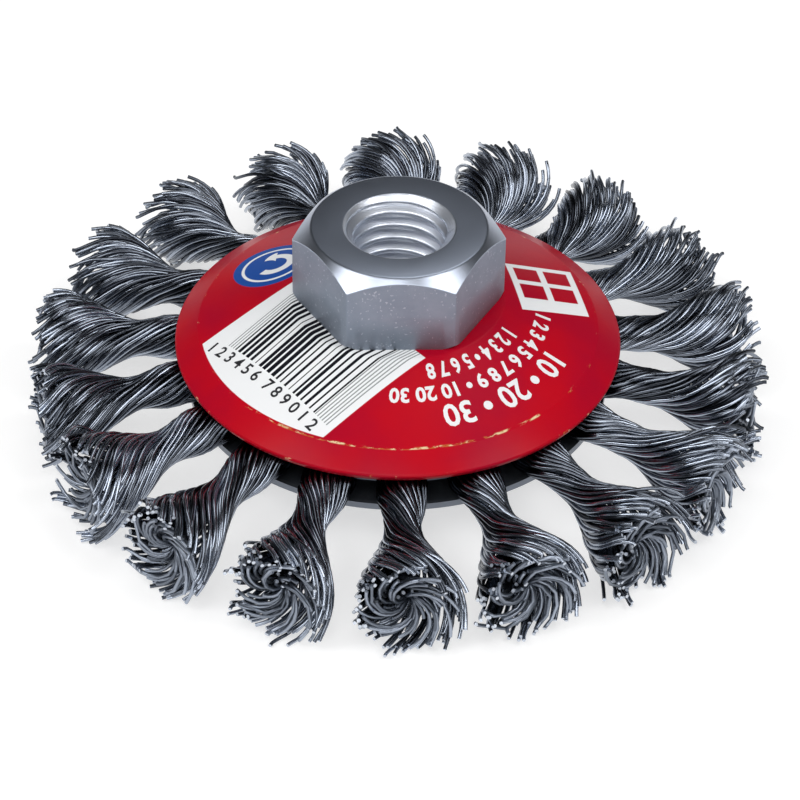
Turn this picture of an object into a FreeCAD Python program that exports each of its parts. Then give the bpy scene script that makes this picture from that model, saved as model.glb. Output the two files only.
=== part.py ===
import FreeCAD, Part
import math
import os
import Sketcher
from types import SimpleNamespace

# Conical wire brush for an angle grinder. Eighteen tufts of steel wire are folded through
# a ring of holes in a disc and twisted into knots that spread at their cut ends.
# A pressed cup lies over the tufts, a plate backs them, and a threaded nut clamps the
# stack and is rolled over below it. +Z runs up the thread, and the origin is on the
# axis, on the surface that the tips rest on.

Vector = FreeCAD.Vector

doc = FreeCAD.newDocument("conical_wire_brush")

# Driving sizes in millimetres and degrees
SIZES = {
    "knot_reach": 18,  # from the cup's rim out to the middle of the cut ends, 95 across
    "knot_count": 18,
    "first_knot": 12,  # azimuth of the first knot
    "knot_drop": 9,  # knots point this far below level
    "tip_width": 13.8,
    "tip_hollow": 2,  # depth of the hollow in a cut end
    "tip_eye": 2.8,  # across the eye in the middle of the hollow
    "tip_swirl": 70,  # the ends lie over in the hollow, the same way round as the twist
    "neck_width": 4.7,
    "neck_place": 0.3,  # share of the free length where a knot is thinnest
    "root_width": 6.6,
    "root_height": 4.7,
    "knot_turn": 245,  # twist over the free length, left-handed
    "groove_depth": 0.2,  # share of the neck taken by the groove between the strands
    "ridge_height": 0.5,  # of the bundles of wires that show along a strand
    "disc_inset": 3.7,  # from the cup's rim in to the edge of the disc
    "disc_thick": 1.2,
    "web_width": 1.8,  # left between a tuft's hole and the edge of the disc
    "rib_width": 1.7,  # left between the holes of two neighbours
    "plate_inset": 1.7,  # from the cup's rim in to the edge of the plate
    "plate_thick": 0.9,
    "cup_dia": 59,
    "band_width": 3.2,  # from the rim in to the ridge
    "cup_seat_dia": 28,
    "cup_thick": 1.2,
    "cone_rise": 4.77,  # from the ridge up to the nut's seat
    "band_rise": 1.97,  # from the rim up to the ridge
    "nut_flats": 24,
    "nut_height": 10.9,
    "nut_turn": 1.8,  # the flats are turned this far from the Y axis
    "nut_face_dia": 22.8,  # flat ring left by the top chamfer
    "nut_chamfer": 41,
    "nut_foot_dia": 26.4,
    "thread_bore": 11.84,  # crests of an M14 x 2 thread
    "thread_mouth": 14.5,
    "shoulder_dia": 21,
    "spigot_dia": 18.4,
    "lip_dia": 22.4,
    "lip_height": 1.6,
    "lip_bevel": 1.2,
    "hole_gap": 0.42,  # left round a tuft in its hole
    "strand_gap": 0.48,  # left between a strand and the disc that it is folded round
    "seat_gap": 0.1,  # left between the tufts and the sheets that grip them
    "fit_gap": 0.1,  # left round the nut's shoulder and spigot
}

sheet = doc.addObject("Spreadsheet::Sheet", "sizes")
for row, (name, value) in enumerate(SIZES.items(), start=1):
    sheet.set(f"A{row}", name)
    sheet.set(f"B{row}", str(value))
    sheet.setAlias(f"B{row}", name)
doc.recompute()

# Heights, radii and slopes that follow from the sizes, named once for every sketch
LEVELS = {
    "brush_edge": "s.cup_dia / 2 + s.knot_reach",
    "ridge_edge": "s.cup_dia / 2 - s.band_width",
    "plate_edge": "s.cup_dia / 2 - s.plate_inset",
    "disc_edge": "s.cup_dia / 2 - s.disc_inset",
    "fork": "l.disc_edge + s.strand_gap",  # radius where a tuft's two strands meet
    "tip_mid": "s.tip_width / 2",
    "disc_mid": "l.tip_mid + (l.brush_edge - l.fork) * tan(s.knot_drop)",
    "disc_top": "l.disc_mid + s.disc_thick / 2",
    "disc_under": "l.disc_mid - s.disc_thick / 2",
    "hole_dia": "(2 * sin(180 / s.knot_count) * (l.disc_edge - s.web_width) - s.rib_width)"
                " / (1 + sin(180 / s.knot_count))",
    "hole_circle": "l.disc_edge - s.web_width - l.hole_dia / 2",
    "grip": "(s.root_height / 2) / cos(s.knot_drop) + s.seat_gap",
    "plate_top": "l.disc_mid - max(l.plate_edge - l.fork; 0) * tan(s.knot_drop) - l.grip",
    "plate_under": "l.plate_top - s.plate_thick",
    "lip_low": "l.plate_under - s.lip_height",
    "cone_slope": "atan(s.cone_rise / (l.ridge_edge - s.cup_seat_dia / 2))",
    "band_slope": "atan(s.band_rise / s.band_width)",
    "rim_inner": "s.cup_dia / 2 - s.cup_thick * sin(l.band_slope)",
    "rim_low": "l.disc_mid - max(l.rim_inner - l.fork; 0) * tan(s.knot_drop) + l.grip",
    "rim_top": "l.rim_low + s.cup_thick * cos(l.band_slope)",
    "ridge_top": "l.rim_top + s.band_rise",
    "cup_top": "l.ridge_top + s.cone_rise",
    "nut_top": "l.cup_top + s.nut_height",
}


def full(expression):
    """The short prefixes s. and l. stand for the sizes and the levels."""
    return expression.replace("s.", "sizes.").replace("l.", "levels.")


levels = doc.addObject("App::VarSet", "levels")
for name, expression in LEVELS.items():
    levels.addProperty("App::PropertyFloat", name, "Levels")
    levels.setExpression(name, full(expression))
    doc.recompute()


def new_body(label):
    body = doc.addObject("PartDesign::Body", label)
    body.Label = label
    return body


def origin_part(body, role):
    return next(item for item in body.Origin.OriginFeatures if item.Role == role)


def outline(body, name, corners):
    """A closed outline in the XZ plane: each corner is a radius and a height."""
    sketch = body.newObject("Sketcher::SketchObject", name)
    sketch.AttachmentSupport = (origin_part(body, "XZ_Plane"), [""])
    sketch.MapMode = "FlatFace"
    count = len(corners)
    for index in range(count):
        here = Vector(index + 1, index * index, 0)
        there = Vector((index + 1) % count + 1, ((index + 1) % count) ** 2, 0)
        sketch.addGeometry(Part.LineSegment(here, there))
    for index in range(count):
        sketch.addConstraint(Sketcher.Constraint("Coincident", index, 2, (index + 1) % count, 1))
    for index, (radius, height) in enumerate(corners):
        for kind, expression in (("DistanceX", radius), ("DistanceY", height)):
            place = sketch.addConstraint(Sketcher.Constraint(kind, -1, 1, index, 1, index + 1.0))
            sketch.setExpression(f"Constraints[{place}]", full(expression))
    doc.recompute()
    return sketch


def turned(body, kind, name, corners):
    """Revolve an outline about the vertical axis, to add or to cut."""
    feature = body.newObject(f"PartDesign::{kind}", name)
    feature.Profile = outline(body, name + "_outline", corners)
    feature.ReferenceAxis = (origin_part(body, "Z_Axis"), [""])
    feature.Angle = 360
    before = body.Shape.Volume if body.Shape and not body.Shape.isNull() else 0
    doc.recompute()
    if kind == "Groove" and feature.Shape.Volume >= before:
        raise RuntimeError(f"{name} cuts nothing")
    return feature


def make_hub_nut():
    """Hexagon, shoulder, spigot and rolled lip in one piece, with the thread's bore."""
    body = new_body("hub_nut")
    hexagon = body.newObject("PartDesign::AdditivePrism", "hexagon")
    hexagon.Polygon = 6
    hexagon.AttachmentSupport = (origin_part(body, "XY_Plane"), [""])
    hexagon.MapMode = "FlatFace"
    hexagon.setExpression("Circumradius", full("s.nut_flats / 2 / cos(30)"))
    hexagon.setExpression("Height", full("s.nut_height"))
    hexagon.setExpression("AttachmentOffset.Base.z", full("l.cup_top"))
    hexagon.setExpression("AttachmentOffset.Rotation.Angle", full("s.nut_turn"))
    doc.recompute()
    turned(body, "Revolution", "stem", [
        ("s.thread_bore / 4", "l.lip_low"),
        ("s.lip_dia / 2 - s.lip_bevel", "l.lip_low"),
        ("s.lip_dia / 2", "l.plate_under"),
        ("s.spigot_dia / 2", "l.plate_under"),
        ("s.spigot_dia / 2", "l.disc_top"),
        ("s.shoulder_dia / 2", "l.disc_top"),
        ("s.shoulder_dia / 2", "l.cup_top + s.nut_height / 2"),
        ("s.thread_bore / 4", "l.cup_top + s.nut_height / 2"),
    ])
    turned(body, "Groove", "top_chamfer", [
        ("s.nut_face_dia / 2", "l.nut_top"),
        ("s.nut_flats", "l.nut_top"),
        ("s.nut_flats", "l.nut_top - (s.nut_flats - s.nut_face_dia / 2) * tan(s.nut_chamfer)"),
    ])
    turned(body, "Groove", "foot_chamfer", [
        ("s.nut_foot_dia / 2", "l.cup_top"),
        ("s.nut_flats", "l.cup_top"),
        ("s.nut_flats", "l.cup_top + (s.nut_flats - s.nut_foot_dia / 2) * tan(s.nut_chamfer)"),
    ])
    turned(body, "Groove", "thread_hole", [
        ("0", "l.lip_low - 1"),
        ("s.thread_bore / 2", "l.lip_low - 1"),
        ("s.thread_bore / 2", "l.nut_top - (s.thread_mouth - s.thread_bore) / 2"),
        ("s.thread_mouth / 2 + 1", "l.nut_top + 1"),
        ("0", "l.nut_top + 1"),
    ])
    return body


def make_top_cup():
    """Pressed sheet: flat seat, cone to a ridge, steeper band to the rim."""
    body = new_body("top_cup")
    turned(body, "Revolution", "pressing", [
        ("s.shoulder_dia / 2 + s.fit_gap", "l.cup_top"),
        ("s.cup_seat_dia / 2", "l.cup_top"),
        ("l.ridge_edge", "l.ridge_top"),
        ("s.cup_dia / 2", "l.rim_top"),
        ("l.rim_inner", "l.rim_low"),
        ("l.ridge_edge - s.cup_thick * sin((l.cone_slope + l.band_slope) / 2)",
         "l.ridge_top - s.cup_thick * cos((l.cone_slope + l.band_slope) / 2)"),
        ("s.cup_seat_dia / 2 - s.cup_thick * sin(l.cone_slope / 2)", "l.cup_top - s.cup_thick"),
        ("s.shoulder_dia / 2 + s.fit_gap", "l.cup_top - s.cup_thick"),
    ])
    return body


HOLE_SIDES = 8


def make_tuft_disc():
    """Flat disc with a ring of holes, one for each tuft, with few sides as they repeat."""
    body = new_body("tuft_disc")
    turned(body, "Revolution", "blank", [
        ("s.spigot_dia / 2 + s.fit_gap", "l.disc_top"),
        ("l.disc_edge", "l.disc_top"),
        ("l.disc_edge", "l.disc_under"),
        ("s.spigot_dia / 2 + s.fit_gap", "l.disc_under"),
    ])
    before = body.Shape.Volume
    hole = body.newObject("PartDesign::SubtractivePrism", "tuft_hole")
    hole.Polygon = HOLE_SIDES
    hole.AttachmentSupport = (origin_part(body, "XY_Plane"), [""])
    hole.MapMode = "FlatFace"
    hole.setExpression("Circumradius", full(f"l.hole_dia / 2 / cos({180 / HOLE_SIDES})"))
    hole.setExpression("Height", full("s.disc_thick * 3"))
    hole.setExpression("AttachmentOffset.Base.x", full("l.hole_circle * cos(s.first_knot)"))
    hole.setExpression("AttachmentOffset.Base.y", full("l.hole_circle * sin(s.first_knot)"))
    hole.setExpression("AttachmentOffset.Base.z", full("l.disc_mid - s.disc_thick * 1.5"))
    hole.setExpression("AttachmentOffset.Rotation.Angle", full("s.first_knot"))
    doc.recompute()
    if hole.Shape.Volume >= before:
        raise RuntimeError("the tuft hole cuts nothing")
    ring = body.newObject("PartDesign::PolarPattern", "tuft_holes")
    ring.Originals = [hole]
    ring.Axis = (origin_part(body, "Z_Axis"), [""])
    ring.Angle = 360
    ring.setExpression("Occurrences", full("s.knot_count"))
    body.Tip = ring
    doc.recompute()
    return body


def make_back_plate():
    """Flat plate under the tufts, held by the nut's lip."""
    body = new_body("back_plate")
    turned(body, "Revolution", "backing", [
        ("s.spigot_dia / 2 + s.fit_gap", "l.plate_top"),
        ("l.plate_edge", "l.plate_top"),
        ("l.plate_edge", "l.plate_under"),
        ("s.spigot_dia / 2 + s.fit_gap", "l.plate_under"),
    ])
    return body


# Corners of a knot's section, as angles round it: a groove corner on each side, and
# five corners on the strand above them and five on the strand below. The second and
# the fourth of the five lie in the valleys between the strand's bundles of wires.
UPPER_STRAND = (25, 57, 90, 123, 155)
VALLEYS = (57, 123)
RIGHT_GROOVE, LEFT_GROOVE = 0, 180
CORNER_ANGLES = (RIGHT_GROOVE, *UPPER_STRAND, LEFT_GROOVE, *(angle + 180 for angle in UPPER_STRAND))
TWIST_STEPS = 8
TWIST_START = 0.1  # share of the free length over which the twist sets in
BENDS = (90, 150, 210, 270)  # round the disc's web, from above to below


def blend(first, second, share):
    return first + (second - first) * share


def wound(share):
    """Share of the twist reached on the way out: quick at the neck, slower in the bell."""
    along = math.hypot(share, TWIST_START) - TWIST_START
    return along * (1.4 - 0.44 * along)


def loop_section(bend, size):
    """A strand's five corners on its way through the hole and round the web."""
    inward = -math.cos(math.radians(bend))
    upward = math.sin(math.radians(bend))
    web_middle = levels.disc_edge - size.web_width / 2
    reach = (size.web_width + levels.hole_dia) / 2  # from the middle of the web to that of the hole
    in_hole = levels.hole_dia / 2 - size.hole_gap
    flat = upward ** 4  # round in the hole, flat against the disc
    base_half = blend(0.55 * in_hole, 0.41 * size.root_width, flat)
    shoulder_half = blend(0.95 * in_hole, 0.30 * size.root_width, flat)
    corners = []
    for side, depth in ((base_half, 0), (shoulder_half, 0.62), (0, 1),
                        (-shoulder_half, 0.62), (-base_half, 0)):
        radius = web_middle - inward * blend(reach - 0.68 * in_hole, reach + in_hole, depth)
        high = upward * blend(size.disc_thick / 2 + size.strand_gap, size.root_height / 2, depth)
        corners.append(Vector(radius, side, high))
    return corners


def knot_section(along, half_width, half_height, groove, valley, turn, upright, size):
    """A knot's twelve corners, counter-clockwise from its tip, at a distance from the fork."""
    lean = FreeCAD.Rotation(Vector(0, 1, 0), size.knot_drop)
    middle = Vector(levels.fork, 0, 0) + lean.multVec(Vector(along, 0, 0))
    tilt = FreeCAD.Rotation(Vector(0, 1, 0), size.knot_drop * (1 - upright))
    twist = FreeCAD.Rotation(Vector(1, 0, 0), turn)
    corners = []
    for degrees in CORNER_ANGLES:
        depth = groove if degrees in (RIGHT_GROOVE, LEFT_GROOVE) else 0
        if degrees % 180 in VALLEYS:
            depth = valley / half_height
        side = half_width * (1 - depth) * math.cos(math.radians(degrees))
        high = half_height * (1 - depth) * math.sin(math.radians(degrees))
        corners.append(middle + tilt.multVec(twist.multVec(Vector(0, side, high))))
    return corners


def knot_sections(size):
    """Flat under the cup, then twisted: thin at the neck, spread at the upright cut end."""
    stretch = 1 / math.cos(math.radians(size.knot_drop))  # from a radius to a length on the knot
    start = (size.cup_dia / 2 - levels.fork) * stretch
    end = (levels.brush_edge - levels.fork) * stretch
    root = (size.root_width / 2, size.root_height / 2)
    sections = [knot_section(along, *root, 0, 0, 0, 0, size) for along in (0, start)]
    for step in range(1, TWIST_STEPS + 1):
        share = step / TWIST_STEPS
        near = min(share / size.neck_place, 1)
        gather = near * near * (3 - 2 * near)
        spread = max((share - size.neck_place) / (1 - size.neck_place), 0)
        bell = math.sin(math.radians(90 * spread)) ** 1.5
        grow = (size.tip_width - size.neck_width) / 2 * bell
        sections.append(knot_section(
            blend(start, end, share),
            blend(root[0], size.neck_width / 2, gather) + grow,
            blend(root[1], size.neck_width / 2, gather) + grow,
            size.groove_depth * gather * (1 - 0.8 * bell), size.ridge_height * gather,
            -size.knot_turn * wound(share) / wound(1), bell, size))
    eye = size.tip_eye / 2
    sections.append(knot_section(end - size.tip_hollow, eye, eye, 0, 0,
                                 -size.knot_turn - size.tip_swirl, 1, size))
    return sections


def flat_face(*corners):
    return Part.Face(Part.makePolygon([*corners, corners[0]]))


def skin(sections):
    """Flat triangles that join each ring of corners to the next."""
    faces = []
    for first, second in zip(sections, sections[1:]):
        for index in range(len(first)):
            after = (index + 1) % len(first)
            faces.append(flat_face(first[index], first[after], second[after]))
            faces.append(flat_face(first[index], second[after], second[index]))
    return faces


def make_knot_shape(size):
    """One tuft along +X, level with the disc: folded round its web, twisted and spread."""
    sections = knot_sections(size)
    fork, eye = sections[0], sections[-1]
    upper, lower = fork[1:6], fork[11:6:-1]
    loop = [lower, *(loop_section(bend, size) for bend in reversed(BENDS)), upper]
    crotch = flat_face(fork[0], fork[11], fork[7], fork[6], fork[5], fork[1])
    shell = Part.makeShell(skin(sections) + skin(loop) + [crotch, flat_face(*eye)])
    shell.sewShape()
    return Part.makeSolid(shell)


def make_knots(size):
    shape = make_knot_shape(size)
    knots = []
    for index in range(round(size.knot_count)):
        knot = doc.addObject("Part::Feature", f"knot_{index + 1:02d}")
        knot.Label = knot.Name
        knot.Shape = shape.copy()
        azimuth = size.first_knot + 360 / size.knot_count * index
        around = FreeCAD.Rotation(Vector(0, 0, 1), azimuth)
        knot.Placement = FreeCAD.Placement(Vector(0, 0, levels.disc_mid), around)
        knots.append(knot)
    return knots


def check(parts):
    """Stop if any object failed, or a piece is empty or not one closed solid."""
    failed = [item.Name for item in doc.Objects if {"Invalid", "Error"} & set(item.State)]
    if failed:
        raise RuntimeError("these objects failed: " + ", ".join(failed))
    for piece in parts:
        shape = piece.Shape
        if shape.isNull() or not shape.isValid() or len(shape.Solids) != 1 or shape.Volume <= 0:
            raise RuntimeError(f"{piece.Label} is not one valid solid")


sizes = SimpleNamespace(**{name: sheet.get(name) for name in SIZES})
parts = [make_hub_nut(), make_top_cup(), make_tuft_disc(), make_back_plate(), *make_knots(sizes)]
doc.recompute()
check(parts)

os.makedirs("parts", exist_ok=True)
for piece in parts:
    piece.Shape.exportStep(f"parts/{piece.Label}.step")
    print(f"{piece.Label}: {piece.Shape.Volume / 1000:.2f} cm3")
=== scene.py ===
import math
import random
from types import SimpleNamespace

import bmesh
import bpy
from mathutils import Matrix, Vector


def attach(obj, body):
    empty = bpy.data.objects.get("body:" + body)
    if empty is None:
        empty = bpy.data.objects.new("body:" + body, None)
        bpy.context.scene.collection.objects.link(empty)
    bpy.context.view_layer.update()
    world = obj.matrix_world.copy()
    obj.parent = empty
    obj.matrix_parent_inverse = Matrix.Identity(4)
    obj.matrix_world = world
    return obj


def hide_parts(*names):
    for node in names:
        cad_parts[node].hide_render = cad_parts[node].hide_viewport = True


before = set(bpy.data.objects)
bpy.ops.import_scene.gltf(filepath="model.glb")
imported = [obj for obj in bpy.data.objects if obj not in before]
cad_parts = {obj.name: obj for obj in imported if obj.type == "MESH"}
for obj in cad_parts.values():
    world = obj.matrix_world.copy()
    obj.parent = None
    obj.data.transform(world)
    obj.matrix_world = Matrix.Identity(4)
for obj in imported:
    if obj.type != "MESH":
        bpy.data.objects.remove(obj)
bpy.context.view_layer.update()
mm = 0.001  # sizes below are in millimetres, the scene is in metres
scene = bpy.context.scene
print("frame loaded:", len(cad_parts), "nodes")


# Node helpers

class Signal:
    # a node's output that takes part in sums
    def __init__(self, graph, socket):
        self.graph = graph
        self.socket = socket

    def __add__(self, other):
        return self.graph.math("ADD", self, other)

    def __radd__(self, other):
        return self.graph.math("ADD", other, self)

    def __sub__(self, other):
        return self.graph.math("SUBTRACT", self, other)

    def __rsub__(self, other):
        return self.graph.math("SUBTRACT", other, self)

    def __mul__(self, other):
        return self.graph.math("MULTIPLY", self, other)

    def __rmul__(self, other):
        return self.graph.math("MULTIPLY", other, self)

    def __truediv__(self, other):
        return self.graph.math("DIVIDE", self, other)

    def __rtruediv__(self, other):
        return self.graph.math("DIVIDE", other, self)

    def __pow__(self, other):
        return self.graph.math("POWER", self, other)

    def __lt__(self, other):
        return self.graph.math("LESS_THAN", self, other)

    def __gt__(self, other):
        return self.graph.math("GREATER_THAN", self, other)

    def __abs__(self):
        return self.graph.math("ABSOLUTE", self)


class Graph:
    # a node tree, and the one way that nodes are added to it
    def __init__(self, tree):
        self.tree = tree
        tree.nodes.clear()

    def node(self, kind, settings=None, sockets=None, out=0):
        made = self.tree.nodes.new(kind)
        for name, value in (settings or {}).items():
            setattr(made, name, value)
        for key, value in (sockets or {}).items():
            if isinstance(value, Signal):
                self.tree.links.new(value.socket, made.inputs[key])
            else:
                made.inputs[key].default_value = value
        if isinstance(out, tuple):
            return [Signal(self, made.outputs[name]) for name in out]
        return Signal(self, made.outputs[out]) if made.outputs else made

    def math(self, operation, *values):
        return self.node("ShaderNodeMath", {"operation": operation}, dict(enumerate(values)))

    def length(self, x, y):
        return self.math("SQRT", x * x + y * y)

    def joined(self, x, y, z):
        return self.node("ShaderNodeCombineXYZ", {}, {"X": x, "Y": y, "Z": z})

    def mix(self, share, first, second):
        settings = {"data_type": "RGBA", "blend_type": "MIX"}
        return self.node("ShaderNodeMix", settings, {0: share, 6: first, 7: second}, out=2)

    def between(self, share, first, second):
        return first + (second - first) * share

    def ease(self, value, low, high):
        settings = {"interpolation_type": "SMOOTHSTEP"}
        return self.node("ShaderNodeMapRange", settings,
                         {"Value": value, "From Min": low, "From Max": high})

    def clamp(self, value, low=0.0, high=1.0):
        return self.node("ShaderNodeClamp", {}, {"Value": value, "Min": low, "Max": high})


def newMaterial(name):
    made = bpy.data.materials.new(name)
    made.use_nodes = True
    return made, Graph(made.node_tree)


def millimetres(graph):
    # the place in the part, whole and as its three distances
    place = graph.node("ShaderNodeTexCoord", {}, {}, out="Object")
    scaled = graph.node("ShaderNodeVectorMath", {"operation": "SCALE"}, {0: place, "Scale": 1 / mm})
    return scaled, graph.node("ShaderNodeSeparateXYZ", {}, {0: scaled}, out=("X", "Y", "Z"))


def noise(graph, place, scale, detail=2.0, roughness=0.5):
    return graph.node("ShaderNodeTexNoise", {}, {
        "Vector": place, "Scale": scale, "Detail": detail, "Roughness": roughness}, out="Fac")


def bump(graph, height, strength, distance):
    return graph.node("ShaderNodeBump", {}, {
        "Height": height, "Strength": strength, "Distance": distance})


def surface(graph, sockets):
    shader = graph.node("ShaderNodeBsdfPrincipled", {}, sockets)
    graph.node("ShaderNodeOutputMaterial", {}, {"Surface": shader})


# Steel wire of the knots

wireFinish = {
    "darkTone": (0.010, 0.012, 0.018, 1), "lightTone": (0.46, 0.51, 0.60, 1),
    "grainScale": 2.5, "roughness": 0.15, "roughnessSpread": 0.08, "bump": 0.04,
    "endTone": (0.24, 0.28, 0.35, 1), "endShare": 0.3, "endMetal": 0.85, "endRoughness": 0.12,
    "cutTone": (0.74, 0.78, 0.84, 1), "cutScale": 14.0, "cutRoughness": 0.42, "cutBump": 0.4,
}


def makeWireSteel(finish):
    made, graph = newMaterial("wireSteel")
    place, _ = millimetres(graph)
    # the stored tone is each wire's random tone with painted shade on the inner layers and under
    # the cup
    tone, frayed = [graph.node("ShaderNodeAttribute", {"attribute_name": name}, {}, out="Fac")
                    for name in ("wireToneAndShade", "wireEnd")]
    grain = noise(graph, place, finish["grainScale"], 3.0, 0.6)
    level = graph.clamp(tone * (0.75 + grain * 0.5))
    colour = graph.mix(level, finish["darkTone"], finish["lightTone"])
    colour = graph.mix(frayed * finish["endShare"], colour, finish["endTone"])
    roughness = finish["roughness"] + grain * finish["roughnessSpread"]
    surface(graph, {
        "Base Color": colour, "Metallic": 1 - frayed * (1 - finish["endMetal"]),
        "Roughness": roughness + frayed * finish["endRoughness"],
        "Normal": bump(graph, grain, finish["bump"], 0.02 * mm)})
    return made


def makeCutSteel(finish):
    made, graph = newMaterial("cutSteel")
    place, _ = millimetres(graph)
    grain = noise(graph, place, finish["cutScale"], 2.0)
    colour = graph.mix(grain, finish["lightTone"], finish["cutTone"])
    surface(graph, {"Base Color": colour, "Metallic": 1.0, "Roughness": finish["cutRoughness"],
                    "Normal": bump(graph, grain, finish["cutBump"], 0.03 * mm)})
    return made


# Knots of folded wires

# each wire is folded through its hole in the disc, and both its ends run out through the
# twist; lengths are in millimetres, angles of the inputs in degrees
knotSizes = {
    "Layers": 7, "Wires In Layer": 11, "Points": 49, "Wire Radius": 0.25,
    "Hole Circle": 21.17, "Fork Radius": 26.28, "Rim Radius": 29.5, "Tip Radius": 47.5,
    "Disc Height": 10.26, "Root Width": 3.3, "Root Height": 2.35,
    "Neck": 2.35, "Neck Place": 0.30, "Spread": 4.55, "Hollow": 0.6, "Turn": 205.0,
    "Droop": 9.0, "Sway": 0.0, "Fray": 1.0, "Azimuth": 0.0, "Seed": 1,
}
wholeInputs = ("Layers", "Wires In Layer", "Points", "Seed")
knotRing = {"count": 18, "first": 12.0, "turnSwing": 24.0, "fray": (0.8, 1.5), "seed": 95}
knotVariety = {
    "Turn": 22.0, "Spread": 0.35, "Neck": 0.12, "Droop": 0.7, "Sway": 0.7, "Azimuth": 0.5,
}

# how the wires lie in a knot, where angles are in radians
wireLay = {
    "loopShare": 0.125,  # share of each end of a wire that lies in the loop round the disc
    "outerLayers": 4,  # they lie side by side in the bell, and the inner ones leave a hollow
    "layerOffset": 0.12, "bundles": 6, "bundleTurn": 1.7, "bundleLength": 0.7, "bundleDrift": 0.13,
    "crowding": 1.3, "crowdingStep": 0.1, "innerCrowding": 0.8,  # points close up to the end
    "bellPower": 1.5, "latePower": -11, "latePowerStep": 4,  # the deeper, the later it opens
    "depth": 0.25, "depthStep": 0.41, "bellDepth": 0.3, "bellDepthStep": 0.1, "leastHeight": 0.15,
    "farShare": 0.95, "farLift": 1.2, "waveRate": 1.1, "waveDepth": 0.03, "waveDrift": 0.01,
    "loopHeight": 0.95, "loopFlatness": 0.65, "loopOut": 1.6, "loopSlope": 2.4, "loopPower": 0.6,
    "windLead": 2.0, "windSoftness": 0.1, "windRate": 1.75, "windSlowing": 0.713,
    "curl": -0.6, "curlStep": 0.45, "endCurl": 0.15, "innerStray": 1.6,
    "floorGap": 0.3, "floorBlend": 0.5,
    # painted shade: innerShade darkens the deeper layers, and the root level darkens the wires
    # under the cup
    "innerShade": 0.12, "rootShadeLevel": 0.3, "outerFray": 0.3,
    # shares of the free length, or of the way to the rim, between which each change comes in
    "farthest": 1.05, "loosened": (0.3, 1.0), "freed": (0.65, 1.05), "curled": (0.8, 1.05),
    "frayed": (0.7, 1.0), "pastCupShade": (0.8, 1.3),
}
# what is drawn for each wire or end of a wire: its own salt, lowest and highest value
wireChances = {
    "length": (1, -1.2, 0.5), "depth": (2, -0.03, 0.04), "looseDepth": (3, -0.08, 0.12),
    "far": (4, 0.0, 1.0), "wave": (5, 0.0, 6.28), "phase": (6, -0.014, 0.014),
    "stray": (7, -0.16, 0.16), "tone": (8, 0.04, 1.15), "freeDepth": (9, -0.5, 0.7),
    "innerTone": (10, 0.2, 1.2), "innerLength": (11, -1.0, 0.2), "curl": (12, -0.35, 0.35),
}
degree = math.pi / 180
quarterTurn = math.pi / 2


def wirePoint(g, size):
    # which wire and layer a point is in, which end, and how far out from the fold
    index = g.node("GeometryNodeInputIndex")
    wire = g.math("FLOOR", (index + 0.5) / size["Points"])
    step = index - wire * size["Points"]
    layer = g.math("FLOOR", (wire + 0.5) / size["Wires In Layer"])
    across = step / (size["Points"] - 1) * 2 - 1
    return SimpleNamespace(
        wire=wire, step=step, layer=layer, place=wire - layer * size["Wires In Layer"],
        side=g.math("SIGN", across), reach=abs(across),
        inner=layer > wireLay["outerLayers"] - 0.5)


def drawsFor(g, size, item):
    def draw(name):
        salt, low, high = wireChances[name]
        return g.node("FunctionNodeRandomValue", {"data_type": "FLOAT"}, {
            2: low, 3: high, 7: item, 8: size["Seed"] * 31 + salt}, out=1)
    return draw


def envelope(g, size, at, share):
    # flat at the root, thin at the neck, a bell at the cut end
    gather = g.ease(share, 0.0, size["Neck Place"])
    opened = g.clamp((share - size["Neck Place"]) / (1 - size["Neck Place"]))
    bell = g.math("SINE", opened * quarterTurn) ** wireLay["bellPower"]
    power = at.layer * wireLay["latePowerStep"] + wireLay["latePower"]
    late = opened ** g.math("MAXIMUM", power, 1.0)
    own = g.between(at.inner, bell, g.between(size["Hollow"] / size["Spread"], late, bell))
    grow = size["Spread"] * own
    width = g.between(gather, size["Root Width"], size["Neck"]) + grow
    height = g.between(gather, size["Root Height"], size["Neck"]) + grow
    return bell, own, width, height


def wireTurn(g, size, at, along, start, end):
    # left-handed, quick at the neck and slower in the bell
    lead = wireLay["windLead"]
    soft = wireLay["windSoftness"]
    twisted = g.clamp((along - start + lead) / (end - start + lead), 0.0, wireLay["farthest"])
    wound = g.math("SQRT", twisted * twisted + soft * soft) - soft
    return size["Turn"] * degree * wound * (wireLay["windRate"] - wound * wireLay["windSlowing"])


def loopPlace(g, size, at, flatSide, loopHigh):
    # a quarter of an oval from the hole to the fork
    loop = g.clamp(at.reach / wireLay["loopShare"])
    rise = g.math("SINE", loop * quarterTurn)
    run = 1 - g.math("COSINE", loop * quarterTurn)
    lean = (loopHigh - wireLay["loopHeight"]) * wireLay["loopSlope"]
    inHole = size["Hole Circle"] + wireLay["loopOut"] - lean
    return (g.between(run, inHole, size["Fork Radius"]), flatSide * g.between(loop, 0.5, 1.0),
            at.side * loopHigh * (rise ** wireLay["loopPower"]))


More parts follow.
